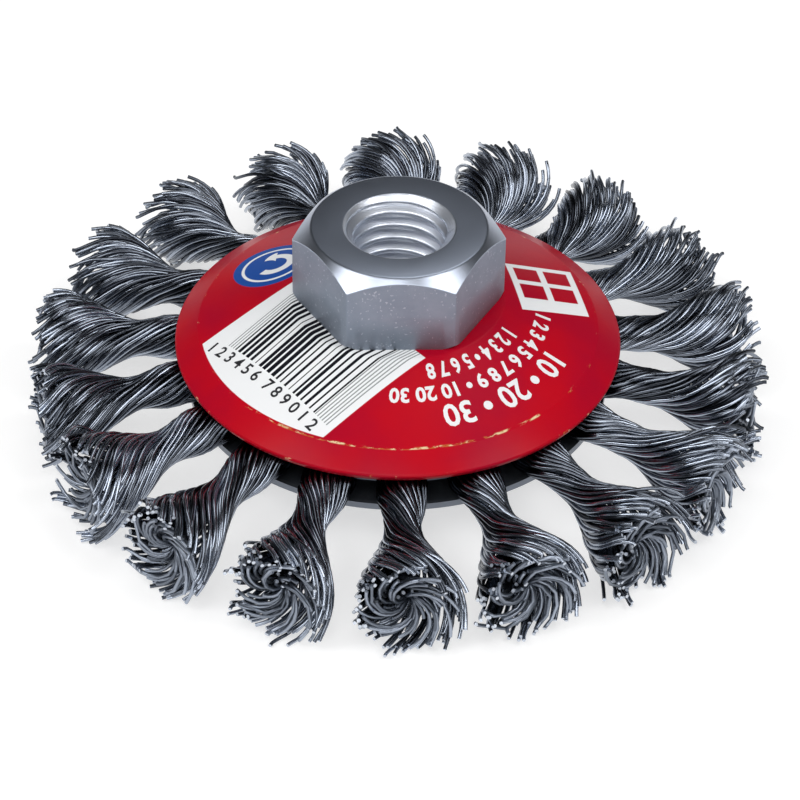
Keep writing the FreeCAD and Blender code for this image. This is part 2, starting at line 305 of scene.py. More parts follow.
def wireRoute(g, size, at):
    # where a point of a wire lies, how bright the wire is there and how frayed
    lay = wireLay
    perWire = drawsFor(g, size, at.wire)
    perEnd = drawsFor(g, size, at.wire * 2 + (at.side > 0))

    # distance from the fork along the knot, and share of the free length
    lean = g.math("COSINE", size["Droop"] * degree)
    start = (size["Rim Radius"] - size["Fork Radius"]) / lean
    end = (size["Tip Radius"] - size["Fork Radius"]) / lean
    offset = g.math("FRACT", at.layer / lay["outerLayers"] + lay["layerOffset"])
    phase = (at.place + offset) / size["Wires In Layer"] * math.pi + perWire("phase")
    swirl = phase * lay["bundles"] + size["Seed"] * lay["bundleTurn"] + at.side
    ragged = perEnd("length") + at.inner * perEnd("innerLength")
    length = end + (ragged - g.math("COSINE", swirl) * lay["bundleLength"]) * size["Fray"]
    body = g.clamp((at.reach - lay["loopShare"]) / (1 - lay["loopShare"]))
    crowding = lay["crowding"] + at.layer * lay["crowdingStep"] + at.inner * lay["innerCrowding"]
    along = (1 - (1 - body) ** crowding) * length
    share = g.clamp((along - start) / (end - start), 0.0, lay["farthest"])
    bell, own, width, height = envelope(g, size, at, share)

    # depth of the wire under the envelope, and its place before the twist
    loose = g.ease(share, *lay["loosened"])
    free = g.ease(share, *lay["freed"])
    depth = g.between(own, lay["depth"] + at.layer * lay["depthStep"],
                      lay["bellDepth"] + at.layer * lay["bellDepthStep"])
    depth = depth + perWire("depth") + loose * perEnd("looseDepth") * size["Fray"]
    depth = depth + free * perEnd("freeDepth") * size["Fray"]
    far = perEnd("far") > lay["farShare"]
    depth = depth - far * loose * loose * lay["farLift"] * size["Fray"]
    wave = g.math("SINE", along * lay["waveRate"] + perWire("wave"))
    depth = depth + wave * lay["waveDepth"] * (0.4 + loose)
    high = g.math("SINE", phase)
    flatSide = g.math("COSINE", phase) * (width - depth)
    flatHigh = high * g.math("MAXIMUM", height - depth, lay["leastHeight"])

    # clear of the disc in the loop, then down into the body of the knot
    rootHigh = high * g.math("MAXIMUM", size["Root Height"] - depth, lay["leastHeight"])
    loopHigh = lay["loopHeight"] + rootHigh * lay["loopFlatness"]
    high = at.side * g.between(g.ease(along, 0.0, start), loopHigh, flatHigh)

    # the twist, the curl of the inner wires on the cut face, and bundles of free ends
    curl = at.inner * (at.layer * lay["curlStep"] + lay["curl"] + perWire("curl")) * own
    curl = curl + g.ease(share, *lay["curled"]) * lay["endCurl"]
    stray = perEnd("stray") * (1 + at.inner * lay["innerStray"])
    bundle = g.math("SINE", swirl) * lay["bundleDrift"]
    drift = free * (stray + bundle) * size["Fray"] + wave * lay["waveDrift"]
    angle = drift - wireTurn(g, size, at, along, start, end) - curl
    cosTurn = g.math("COSINE", angle)
    sinTurn = g.math("SINE", angle)
    turnedSide = flatSide * cosTurn - high * sinTurn
    turnedHigh = flatSide * sinTurn + high * cosTurn

    # lean, up to an upright cut face, sway, and rest on the floor
    tilt = size["Droop"] * degree * (1 - bell)
    bodyOut = size["Fork Radius"] + along * lean + turnedHigh * g.math("SINE", tilt)
    bodyUp = turnedHigh * g.math("COSINE", tilt) - along * g.math("SINE", size["Droop"] * degree)
    bodyUp = g.math("SMOOTH_MAX", bodyUp, lay["floorGap"] - size["Disc Height"], lay["floorBlend"])
    bodySide = turnedSide + size["Sway"] * share * share
    inBody = at.reach > lay["loopShare"]
    position = g.joined(*[g.between(inBody, inLoop, beyond) for inLoop, beyond in zip(
        loopPlace(g, size, at, flatSide, loopHigh), (bodyOut, bodySide, bodyUp))])

    # each wire's tone differs at random; painted shade darkens it the deeper its layer lies (less
    # towards the cut face), and darkens the wires under the cup
    tone = g.between(at.inner, perWire("tone"), perWire("innerTone"))
    tone = tone * (1 - at.layer * lay["innerShade"] * (1 - own * own))
    pastCupShade = g.ease(along, *[start * share for share in lay["pastCupShade"]])
    tone = tone * (lay["rootShadeLevel"] + (1 - lay["rootShadeLevel"]) * pastCupShade)
    frayed = g.ease(share, *lay["frayed"]) * g.between(at.inner, lay["outerFray"], 1.0)
    return position, tone, frayed


def buildKnotTree(wireSteel, cutSteel):
    tree = bpy.data.node_groups.new("twistedKnot", "GeometryNodeTree")
    tree.interface.new_socket("Geometry", in_out="OUTPUT", socket_type="NodeSocketGeometry")
    for name, value in knotSizes.items():
        kind = "NodeSocketInt" if name in wholeInputs else "NodeSocketFloat"
        tree.interface.new_socket(name, in_out="INPUT", socket_type=kind).default_value = value
    g = Graph(tree)
    names = tuple(knotSizes)
    size = dict(zip(names, g.node("NodeGroupInput", {}, {}, out=names)))
    at = wirePoint(g, size)
    position, tone, frayed = wireRoute(g, size, at)

    # points to curves, curves to round wires with flat cut ends
    points = g.node("GeometryNodePoints", {}, {
        "Count": size["Layers"] * size["Wires In Layer"] * size["Points"], "Position": position,
        "Radius": 0.1})
    # the tone carries painted shade besides each wire's own tone
    for name, value in (("wireToneAndShade", tone), ("wireEnd", frayed)):
        settings = {"data_type": "FLOAT", "domain": "POINT"}
        points = g.node("GeometryNodeStoreNamedAttribute", settings, {
            "Geometry": points, "Name": name, "Value": value})
    curves = g.node("GeometryNodePointsToCurves", {}, {
        "Points": points, "Curve Group ID": at.wire, "Weight": at.step})
    profile = g.node("GeometryNodeCurvePrimitiveCircle", {"mode": "RADIUS"}, {
        "Resolution": 6, "Radius": size["Wire Radius"]})
    mesh = g.node("GeometryNodeCurveToMesh", {}, {
        "Curve": curves, "Profile Curve": profile, "Fill Caps": True})
    isCap = g.node("GeometryNodeInputMeshFaceNeighbors", {}, {}, out="Vertex Count") > 4.5
    mesh = g.node("GeometryNodeTransform", {}, {
        "Geometry": mesh, "Rotation": g.joined(0.0, 0.0, size["Azimuth"] * degree),
        "Translation": g.joined(0.0, 0.0, size["Disc Height"] * mm), "Scale": (mm, mm, mm)})
    mesh = g.node("GeometryNodeRealizeInstances", {}, {"Geometry": mesh})
    mesh = g.node("GeometryNodeSetShadeSmooth", {"domain": "FACE"}, {
        "Geometry": mesh, "Shade Smooth": 1 - isCap})
    mesh = g.node("GeometryNodeSetMaterial", {}, {"Geometry": mesh, "Material": wireSteel})
    mesh = g.node("GeometryNodeSetMaterial", {}, {
        "Geometry": mesh, "Selection": isCap, "Material": cutSteel})
    g.node("NodeGroupOutput", {}, {"Geometry": mesh})
    return tree


def plainMesh(holder):
    depsgraph = bpy.context.evaluated_depsgraph_get()
    return bpy.data.meshes.new_from_object(holder.evaluated_get(depsgraph),
                                           preserve_all_data_layers=True, depsgraph=depsgraph)


def makeKnot(tree, identifiers, number, changes):
    name = f"wireKnot{number:02d}"
    holder = bpy.data.objects.new(name, bpy.data.meshes.new(name))
    scene.collection.objects.link(holder)
    modifier = holder.modifiers.new("knot", "NODES")
    modifier.node_group = tree
    for key, value in changes.items():
        modifier[identifiers[key]] = value
    made = plainMesh(holder)
    holder.modifiers.remove(modifier)
    holder.data = made
    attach(holder, "root")
    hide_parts(f"knot_{number:02d}")
    return holder


def makeKnots():
    tree = buildKnotTree(makeWireSteel(wireFinish), makeCutSteel(wireFinish))
    identifiers = {item.name: item.identifier for item in tree.interface.items_tree
                   if item.in_out == "INPUT"}
    draw = random.Random(knotRing["seed"])
    for index in range(knotRing["count"]):
        azimuth = knotRing["first"] + 360 / knotRing["count"] * index
        swing = knotRing["turnSwing"] * math.sin(math.radians(azimuth))  # more at the back
        changes = {"Azimuth": azimuth, "Turn": knotSizes["Turn"] + swing}
        for name, spread in knotVariety.items():
            changes[name] = changes.get(name, knotSizes[name]) + draw.uniform(-spread, spread)
        changes["Fray"] = draw.uniform(*knotRing["fray"])
        changes["Seed"] = index + 1
        knot = makeKnot(tree, identifiers, index + 1, changes)
    print("knots made:", knotRing["count"], "of", len(knot.data.polygons), "faces")


# Turned meshes

def roundedOutline(corners, steps=4):
    # corners are (radius, height, rounding); each rounded one becomes a short arc
    points = []
    count = len(corners)
    for index, (radius, height, rounding) in enumerate(corners):
        here = Vector((radius, height))
        if rounding == 0:
            points.append(here)
            continue
        before = Vector(corners[index - 1][:2]) - here
        after = Vector(corners[(index + 1) % count][:2]) - here
        half = before.angle(after) / 2
        cut = min(rounding / math.tan(half), 0.49 * before.length, 0.49 * after.length)
        first = here + before.normalized() * cut
        last = here + after.normalized() * cut
        for step in range(steps + 1):
            share = step / steps
            points.append(first.lerp(here, share).lerp(here.lerp(last, share), share))
    return points


def ringMesh(name, rings, material):
    # rings of points round the axis, joined to a closed surface
    mesh = bpy.data.meshes.new(name)
    made = bmesh.new()
    vertices = [[made.verts.new(point) for point in ring] for ring in rings]
    for first, second in zip(vertices, vertices[1:] + vertices[:1]):
        for index in range(len(first)):
            after = (index + 1) % len(first)
            face = made.faces.new((first[index], first[after], second[after], second[index]))
            face.smooth = True
    bmesh.ops.remove_doubles(made, verts=made.verts, dist=1e-7)
    bmesh.ops.dissolve_degenerate(made, edges=made.edges, dist=1e-7)
    bmesh.ops.recalc_face_normals(made, faces=made.faces)
    made.to_mesh(mesh)
    made.free()
    mesh.materials.append(material)
    piece = bpy.data.objects.new(name, mesh)
    scene.collection.objects.link(piece)
    return piece


def turn(point, angle):
    return Vector((point[0] * math.cos(angle), point[0] * math.sin(angle), point[1])) * mm


# Red cup with its printed fields

cupSizes = {
    "boreRadius": 10.6, "seatRadius": 14.0, "ridgeRadius": 26.3, "rimRadius": 29.5,
    "seatHeight": 20.092, "coneRise": 4.77, "bandRise": 1.97, "sheet": 1.2,
    "boreRound": 0.15, "seatBend": 1.5, "ridgeBend": 1.6, "rimBend": 0.5,
    "seatUnder": 0.4, "ridgeUnder": 0.6, "rimUnder": 0.3, "segments": 288,
}
cupFinish = {
    "red": (0.50, 0.002, 0.012, 1), "deepRed": (0.40, 0.002, 0.020, 1),
    "white": (0.86, 0.87, 0.88, 1), "ink": (0.008, 0.008, 0.012, 1),
    "greyInk": (0.30, 0.32, 0.32, 1), "blue": (0.010, 0.075, 0.35, 1),
    "worn": (0.78, 0.62, 0.36, 1), "wornDeep": (0.50, 0.16, 0.04, 1),
    "cloudScale": 0.09, "peelScale": 1.6, "bump": 0.18, "printRelief": 0.6,
    "roughness": 0.30, "peelRoughness": 0.06, "printRoughness": 0.12, "specular": 0.05,
    "coat": 0.12, "coatRoughness": 0.25, "coatLost": 0.6,
}
wearSizes = {
    "ridge": (-0.22, 0.06), "rim": (-0.25, 1.0), "soft": 0.08, "chipped": (0.60, 0.66),
    "streaksOut": 1.6, "streaksRound": 10, "front": (14.0, 24.0), "frontHighlight": 0.13,
    "patchScale": 0.9, "patches": (0.42, 0.58),
}
labelSizes = {
    "barDirection": 40.0, "across": (-12.7, 12.3), "taper": 0.11, "taperFrom": -22.8,
    "along": (-60.0, -6.0), "arcRadius": 25.95,
    "barsAcross": (-11.8, 9.0), "boldAcross": (-9.2, 7.3), "barEnd": -21.3,
    "barPitch": 0.86, "barPlace": (0.36, 0.28), "barWidth": (0.07, 0.30),  # least and spread
    "barSalts": (0.5, 60.5), "barSoft": 0.03, "boldSoft": 0.01, "finePitch": 0.45,
    "fineShare": 0.38,
    "signCentre": (-16.5, 8.95), "signRadius": 5.55, "signRim": 1.5, "signRing": 0.4,
    "arrowBand": (1.6, 2.7), "arrowTurn": (-2.4, 1.5), "headBand": (0.9, 3.4),
    "headTip": 2.3, "headMiddle": 2.15, "headSlope": 1.7, "arrowSoft": 0.02,
    "plateCentre": (19.6, 5.0), "plateHalf": (4.75, 5.2), "plateTurn": 19.6, "plateLean": 7.7,
    "plateFrame": 0.9, "plateBand": 0.8,
}
softEdge = 0.06


def coneHeight(radius):
    size = cupSizes
    slope = size["coneRise"] / (size["ridgeRadius"] - size["seatRadius"])
    return size["seatHeight"] - (radius - size["seatRadius"]) * slope


def beyond(graph, value, edge, soft=softEdge):
    # rises from nought to one across an edge
    return graph.ease(value, edge - soft, edge + soft)


def within(graph, value, low, high, soft=softEdge):
    # one between two edges and nought outside them
    return beyond(graph, value, low, soft) * (1 - beyond(graph, value, high, soft))


def labelMask(graph, along, across, radius):
    size = labelSizes
    low, high = size["across"]
    narrowed = high - (along - size["taperFrom"]) * size["taper"]
    field = beyond(graph, across, low) * beyond(graph, narrowed - across, 0.0)
    field = field * within(graph, along, *size["along"])
    field = field * (1 - beyond(graph, radius, size["arcRadius"]))
    inBars = within(graph, across, *size["barsAcross"]) * (along > size["barEnd"])
    bold = within(graph, across, *size["boldAcross"], size["boldSoft"])

    # one bar in each lane, of a width and a place of its own
    lane = across / size["barPitch"]
    widthDraw, placeDraw = [graph.node("ShaderNodeTexWhiteNoise", {"noise_dimensions": "1D"}, {
        "W": graph.math("FLOOR", lane) + salt}, out="Value") for salt in size["barSalts"]]
    leastPlace, placeSpread = size["barPlace"]
    leastWidth, widthSpread = size["barWidth"]
    off = abs(graph.math("FRACT", lane) - (leastPlace + placeDraw * placeSpread))
    outsideBar = off - (leastWidth + widthDraw * widthSpread)
    bars = 1 - beyond(graph, outsideBar, 0.0, size["barSoft"])
    fine = graph.math("FRACT", across / size["finePitch"]) < size["fineShare"]
    return field, inBars * bold * bars, inBars * (1 - bold) * fine


def signMasks(graph, x, y):
    # a ring and a round arrow on a disc
    size = labelSizes
    centreX, centreY = size["signCentre"]
    offX = x - centreX
    offY = y - centreY
    distance = graph.length(offX, offY)
    disc = 1 - beyond(graph, distance, size["signRadius"])
    ringStart = size["signRadius"] - size["signRim"]
    ring = within(graph, distance, ringStart, ringStart + size["signRing"])
    angle = graph.math("ARCTAN2", offY, offX)
    tail, neck = size["arrowTurn"]
    tip = size["headTip"]
    soft = size["arrowSoft"]
    arrow = within(graph, distance, *size["arrowBand"]) * within(graph, angle, tail, neck, soft)
    head = within(graph, distance, *size["headBand"]) * within(graph, angle, neck, tip, soft)
    pointed = abs(distance - size["headMiddle"]) < (tip - angle) * size["headSlope"]
    return disc, graph.clamp(ring + arrow + head * pointed)


def plateMask(graph, x, y):
    size = labelSizes
    centreX, centreY = size["plateCentre"]
    halfX, halfY = size["plateHalf"]
    turned = math.radians(size["plateTurn"])
    lean = math.tan(math.radians(size["plateLean"]))
    offY = (y - centreY) * math.cos(turned) - (x - centreX) * math.sin(turned)
    offX = (x - centreX) * math.cos(turned) + (y - centreY) * math.sin(turned) - offY * lean
    rim = size["plateFrame"]
    outer = within(graph, offX, -halfX, halfX) * within(graph, offY, -halfY, halfY)

    # four blocks stay red, with a white band below them
    band = size["plateBand"]
    blocks = within(graph, abs(offX), rim / 2, halfX - rim)
    blocks = blocks * within(graph, abs(offY - band), rim / 2, halfY - rim - band)
    return outer - blocks


def wornMask(graph, x, y, radius):
    # paint is worn off in broken lines along the ridge and the rim; the extra along the ridge at
    # the front is a painted highlight
    size = wearSizes

    def near(edge, inward, outward):
        return within(graph, radius, edge + inward, edge + outward, size["soft"])

    ridge = near(cupSizes["ridgeRadius"], *size["ridge"])
    rim = near(cupSizes["rimRadius"], *size["rim"])
    angle = graph.math("ARCTAN2", y, x)
    place = graph.joined(radius * size["streaksOut"], angle * size["streaksRound"], 0.0)
    streaks = noise(graph, place, 1.0, 5.0, 0.7)
    # painted highlight: more of the light worn colour along the ridge at the front
    front = graph.ease(0 - y, *size["front"]) * size["frontHighlight"]
    return graph.clamp(ridge * graph.ease(streaks + front, *size["chipped"])
                       + rim * graph.ease(streaks, *size["chipped"]))


def makeCupRed():
    made, graph = newMaterial("printedRedEnamel")
    finish = cupFinish
    place, (x, y, z) = millimetres(graph)
    radius = graph.length(x, y)
    azimuth = math.radians(labelSizes["barDirection"])
    along = x * math.cos(azimuth) + y * math.sin(azimuth)
    across = y * math.cos(azimuth) - x * math.sin(azimuth)
    top = coneHeight(graph.math("MAXIMUM", radius, cupSizes["seatRadius"]))
    outside = z > top - cupSizes["sheet"] / 2
    cloud = noise(graph, place, finish["cloudScale"], 3.0)
    paint = graph.mix(graph.ease(cloud, 0.3, 0.7), finish["deepRed"], finish["red"])
    field, bars, fineBars = labelMask(graph, along, across, radius)
    disc, signLines = signMasks(graph, x, y)
    field, disc, plate = [mask * outside for mask in (field, disc, plateMask(graph, x, y))]
    colour = graph.mix(field, paint, finish["white"])
    colour = graph.mix(field * fineBars, colour, finish["greyInk"])
    colour = graph.mix(field * bars, colour, finish["ink"])
    colour = graph.mix(disc, colour, finish["blue"])
    colour = graph.mix(disc * signLines, colour, finish["white"])
    colour = graph.mix(graph.clamp(plate), colour, finish["white"])
    printed = graph.clamp(field + disc + plate)
    worn = wornMask(graph, x, y, radius) * (1 - printed)
    patches = graph.ease(noise(graph, place, wearSizes["patchScale"]), *wearSizes["patches"])
    colour = graph.mix(worn, colour, graph.mix(patches, finish["wornDeep"], finish["worn"]))
    peel = noise(graph, place, finish["peelScale"])
    surface(graph, {
        "Base Color": colour,
        "Roughness": (finish["roughness"] + printed * finish["printRoughness"]
                      + (peel - 0.5) * finish["peelRoughness"]),
        "Specular IOR Level": finish["specular"],
        "Coat Weight": finish["coat"] * (1 - graph.clamp(printed + worn) * finish["coatLost"]),
        "Coat Roughness": finish["coatRoughness"],
        "Normal": bump(graph, peel + printed * finish["printRelief"], finish["bump"], 0.03 * mm)})
    return made


def makeCup():
    size = cupSizes
    sheet = size["sheet"]
    ridgeHeight = size["seatHeight"] - size["coneRise"]
    rimHeight = ridgeHeight - size["bandRise"]
    coneSlope = math.atan2(size["coneRise"], size["ridgeRadius"] - size["seatRadius"])
    bandSlope = math.atan2(size["bandRise"], size["rimRadius"] - size["ridgeRadius"])

    def under(radius, height, slope, rounding):
        # the corner of the underside that is one sheet's thickness from a corner of the top
        return radius - sheet * math.sin(slope), height - sheet * math.cos(slope), rounding

    outline = roundedOutline([
        (size["boreRadius"], size["seatHeight"], size["boreRound"]),
        (size["seatRadius"], size["seatHeight"], size["seatBend"]),
        (size["ridgeRadius"], ridgeHeight, size["ridgeBend"]),
        (size["rimRadius"], rimHeight, size["rimBend"]),
        under(size["rimRadius"], rimHeight, bandSlope, size["rimUnder"]),
        under(size["ridgeRadius"], ridgeHeight, (coneSlope + bandSlope) / 2, size["ridgeUnder"]),
        (size["seatRadius"] - sheet * math.sin(coneSlope / 2), size["seatHeight"] - sheet,
         size["seatUnder"]),
        (size["boreRadius"], size["seatHeight"] - sheet, size["boreRound"]),
    ], 6)
    count = size["segments"]
    rings = [[turn(point, 2 * math.pi * index / count) for index in range(count)]
             for point in outline]
    cup = ringMesh("redCup", rings, makeCupRed())
    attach(cup, "root")
    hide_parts("top_cup")
    print("cup made:", len(cup.data.polygons), "faces")


# Rows of plain dial numbers, printed on the cone

numberRows = [
    {"text": "10 • 20 • 30", "size": 4.2, "radius": 20.9, "start": 338.0, "end": 285.5},
    {"text": "1 2 3 4 5 6 7 8 9 • 10 20 30", "size": 2.7, "radius": 18.1,
     "start": 356.0, "end": 267.0},
    {"text": "1 2 3 4 • 5 6 7 8", "size": 2.9, "radius": 15.0, "start": 336.0, "end": 283.5},
]
labelRow = {
    "text": "1 2 3 4 5 6  7 8 9 0 1 2", "size": 2.3, "along": -23.3, "start": 11.0, "end": -10.8,
}
printSizes = {"lift": 0.06, "rowWeight": 0.08, "labelWeight": 0.02, "curveSteps": 3}
printFinish = {
    "white": ((0.80, 0.80, 0.81, 1), (0.88, 0.88, 0.89, 1)),
    "black": ((0.010, 0.010, 0.014, 1), (0.020, 0.020, 0.024, 1)),
    "grainScale": 3.0, "roughness": 0.38, "roughnessSpread": 0.1,
}


def onCone(row, share, rise):
    # the place of a point of a row: along an arc round the axis, or straight across the label
    reached = row["start"] + (row["end"] - row["start"]) * share
    if "radius" in row:
        return row["radius"] + rise, math.radians(reached)
    along = row["along"] + rise
    azimuth = math.atan2(reached, along) + math.radians(labelSizes["barDirection"])
    return math.hypot(along, reached), azimuth


def makeNumbers():
    made = bmesh.new()
    for row in numberRows + [labelRow]:
        curve = bpy.data.curves.new("dialRow", "FONT")
        curve.body = row["text"]
        curve.size = row["size"]
        curve.offset = printSizes["labelWeight" if row is labelRow else "rowWeight"]
        curve.extrude = printSizes["lift"]
        curve.resolution_u = printSizes["curveSteps"]
        holder = bpy.data.objects.new("dialRow", curve)
        scene.collection.objects.link(holder)
        flat = plainMesh(holder)
        bpy.data.objects.remove(holder)
        width = max(vertex.co.x for vertex in flat.vertices)
        for vertex in flat.vertices:
            radius, azimuth = onCone(row, vertex.co.x / width, vertex.co.y)
            vertex.co = turn((radius, coneHeight(radius) + vertex.co.z), azimuth)
        for polygon in flat.polygons:
            polygon.material_index = int(row is labelRow)
        made.from_mesh(flat)
        bpy.data.meshes.remove(flat)
    bmesh.ops.remove_doubles(made, verts=made.verts, dist=1e-7)
    bmesh.ops.recalc_face_normals(made, faces=made.faces)
    mesh = bpy.data.meshes.new("dialNumbers")
    made.to_mesh(mesh)
    made.free()
    mesh.materials.append(makePrint("printWhite", *printFinish["white"]))
    mesh.materials.append(makePrint("printBlack", *printFinish["black"]))
    numbers = bpy.data.objects.new("dialNumbers", mesh)
    scene.collection.objects.link(numbers)
    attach(numbers, "root")
    print("numbers made:", len(mesh.polygons), "faces")


def makePrint(name, dark, light):
    made, graph = newMaterial(name)
    place, _ = millimetres(graph)
    grain = noise(graph, place, printFinish["grainScale"], 3.0)
    roughness = printFinish["roughness"] + grain * printFinish["roughnessSpread"]
    surface(graph, {"Base Color": graph.mix(grain, dark, light), "Roughness": roughness})
    return made


# Zinc-plated nut with its thread, shoulder, spigot and rolled lip

nutSizes = {
    "flats": 24.0, "turn": 1.8, "top": 30.992, "seat": 20.092, "faceRadius": 11.4,
    "chamfer": 41.0, "footRadius": 13.2, "cornerRound": 0.35, "edgeRound": 0.18, "edgeDrop": 0.18,
    "cornerDrop": 0.12, "shoulder": 10.5, "discTop": 10.861, "spigot": 9.2, "discRound": 0.2,
    "plateUnder": 6.641, "lipRadius": 11.2, "lipLow": 5.041, "lipBevel": 1.2, "footWidth": 0.9,
    "lipRounds": (0.3, 0.9, 0.2), "minorRadius": 5.92, "majorRadius": 7.0, "mouthRadius": 7.25,
    "footFlare": 0.7, "pitch": 2.0, "crest": 0.25, "flank": 0.3125, "root": 0.125,
    "threadSteps": 16,
}
nutFinish = {
    "zinc": (0.56, 0.61, 0.71, 1), "dull": (0.40, 0.44, 0.53, 1), "speck": (0.85, 0.89, 0.95, 1),
    "sideTone": (0.24, 0.30, 0.38, 1), "topFaceShade": (0.40, 0.45, 0.55, 1),
    "boreTone": (0.80, 0.84, 0.92, 1), "roughness": 0.31, "roughnessSpread": 0.06,
    "sideRoughness": 0.20, "sideMetal": 0.45, "boreRoughness": 0.10, "cloudScale": 0.35,
    "speckScale": 2.6, "speckLevels": (0.66, 0.74), "speckShare": 0.45,
    "turnedScale": 7.0, "boreRings": 24, "boreRingDepth": 0.4, "bump": 0.22,
}
# angles from the middle of each flat, closest together at its corners
sideAngles = (-30.0, -29.5, -29.0, -28.4, -27, -24, -20, -16, -12, -8, -4, 0,
              4, 8, 12, 16, 20, 24, 27, 28.4, 29.0, 29.5)


def makeZinc():
    made, graph = newMaterial("zincPlate")
    finish = nutFinish
    size = nutSizes
    place, (x, y, z) = millimetres(graph)
    radius = graph.length(x, y)
    cloud = noise(graph, place, finish["cloudScale"], 5.0, 0.65)
    specks = graph.ease(noise(graph, place, finish["speckScale"], 1.0), *finish["speckLevels"])

    # the six flats are duller than the turned chamfer and bore
    slope = math.tan(math.radians(size["chamfer"]))
    below = size["top"] - (radius - size["faceRadius"]) * slope - z
    side = graph.ease(below, 0.05, 0.15) * graph.ease(radius, size["faceRadius"], size["flats"] / 2)
    colour = graph.mix(cloud, finish["dull"], finish["zinc"])
    colour = graph.mix(side, colour, graph.mix(cloud, finish["sideTone"], finish["dull"]))
    colour = graph.mix(side * specks * finish["speckShare"], colour, finish["speck"])
    # painted shade: the top face is mixed to a darker tone
    face = graph.ease(z, size["top"] - 0.1, size["top"] - 0.02)
    colour = graph.mix(face, colour, finish["topFaceShade"])
    mouth = 1 - graph.ease(radius, size["mouthRadius"], size["mouthRadius"] + 0.1)
    colour = graph.mix(mouth, colour, finish["boreTone"])
    turned = noise(graph, graph.joined(radius, z, 0.0), finish["turnedScale"])
    grooves = mouth * graph.math("SINE", radius * finish["boreRings"]) * finish["boreRingDepth"]
    surface(graph, {
        "Base Color": colour, "Metallic": 1 - side * (1 - finish["sideMetal"]),
        "Roughness": (finish["roughness"] + (cloud - 0.5) * finish["roughnessSpread"]
                      + side * finish["sideRoughness"] + mouth * finish["boreRoughness"]),
        "Normal": bump(graph, turned + grooves, finish["bump"], 0.03 * mm)})
    return made


def hexRadius(angle, size):
    # distance from the axis to the hexagon, with its corners rounded
    halfSide = math.pi / 6
    sector = math.radians((math.degrees(angle) - size["turn"]) % 60 - 30)
    flat = size["flats"] / 2 / math.cos(sector)
    centre = (size["flats"] / 2 - size["cornerRound"]) / math.cos(halfSide)
    away = halfSide - abs(sector)
    inside = size["cornerRound"] ** 2 - (centre * math.sin(away)) ** 2
    if inside <= 0:
        return flat
    return min(flat, centre * math.cos(away) + math.sqrt(inside))


def threadRadius(height, size):
    # flat crest, flank, flat root, flank over one pitch
    share = (height / size["pitch"]) % 1
    rootStart = size["crest"] + size["flank"]
    if share < size["crest"]:
        depth = 0
    elif share < rootStart:
        depth = (share - size["crest"]) / size["flank"]
    elif share < rootStart + size["root"]:
        depth = 1
    else:
        depth = (1 - share) / size["flank"]
    return size["minorRadius"] + (size["majorRadius"] - size["minorRadius"]) * depth


def makeNut():
    size = nutSizes
    angles = [math.radians(size["turn"] + 30 + 60 * side + angle)
              for side in range(6) for angle in sideAngles]
    slope = math.tan(math.radians(size["chamfer"]))
    edge = size["edgeRound"]

    def ring(place):
        return [turn(place(angle), angle) for angle in angles]

    def level(radius, height):
        return ring(lambda angle: (radius, height))

    def chamfer(share):
        # across the upper chamfer, from the rounded edge of the top face to the flats
        def place(angle):
            radius = size["faceRadius"] + edge
            radius += (hexRadius(angle, size) - size["faceRadius"] - edge) * share
            return radius, size["top"] - (radius - size["faceRadius"]) * slope
        return place

    def footEdge(angle):
        radius = hexRadius(angle, size)
        return radius, size["seat"] + max(radius - size["footRadius"], 0) * slope

    # the top face, its rounded edge, the chamfer, and the flats down to the foot
    rings = [level(size["mouthRadius"] + edge, size["top"])]
    for share in (-1.0, -0.4, 0.3, 1.0):
        drop = edge * slope * (max(share, 0) + size["edgeDrop"] * (1 - abs(share)))
        rings.append(level(size["faceRadius"] + share * edge, size["top"] - drop))
    halfway = (size["top"] + size["seat"]) / 2
    rings += [ring(place) for place in (
        chamfer(0.985), chamfer(1.0),
        lambda angle: (hexRadius(angle, size), chamfer(1.0)(angle)[1] - size["cornerDrop"]),
        lambda angle: (hexRadius(angle, size), halfway), footEdge,
        lambda angle: (min(size["footRadius"], hexRadius(angle, size)), size["seat"]))]

    # shoulder, spigot and rolled lip
    upper, outer, inner = size["lipRounds"]
    stem = roundedOutline([
        (size["shoulder"], size["seat"], 0), (size["shoulder"], size["discTop"], size["discRound"]),
        (size["spigot"], size["discTop"], 0), (size["spigot"], size["plateUnder"], 0),
        (size["lipRadius"], size["plateUnder"], upper),
        (size["lipRadius"] - size["lipBevel"], size["lipLow"], outer),
        (size["minorRadius"] + size["footWidth"], size["lipLow"], inner),
    ])
    rings += [level(*point) for point in stem]

    # the thread climbs one pitch a turn, and is cut off flat at both ends
    count = size["threadSteps"]
    total = math.ceil((size["top"] - size["lipLow"]) / size["pitch"] + 1) * count

    def thread(base):
        def place(angle):
            climbed = base + size["pitch"] * ((angle / (2 * math.pi)) % 1)
            height = min(max(climbed, size["lipLow"]), size["top"])
            mouth = size["mouthRadius"] - (size["top"] - height)
            foot = size["minorRadius"] + size["footFlare"] - (height - size["lipLow"])
            return max(threadRadius(base, size), mouth, foot), height
        return place

    for step in range(total + 1):
        rings.append(ring(thread(size["lipLow"] - size["pitch"] + step * size["pitch"] / count)))
    nut = ringMesh("hexNut", rings, makeZinc())
    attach(nut, "root")
    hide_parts("hub_nut")
    print("nut made:", len(nut.data.polygons), "faces")


# Dark steel of the disc and the back plate

darkFinish = {
    # the edge colour is a painted highlight along the plate's outer edge
    "dark": (0.07, 0.08, 0.10, 1), "light": (0.19, 0.21, 0.25, 1), "edge": (0.30, 0.33, 0.38, 1),
    "edgeRadii": (27.0, 27.5), "edgeHighlightShare": 0.4, "edgePolish": 0.1, "metal": 0.85,
    "cloudScale": 0.4, "roughness": 0.42, "roughnessSpread": 0.2, "rolledScale": 5.0, "bump": 0.15,
}


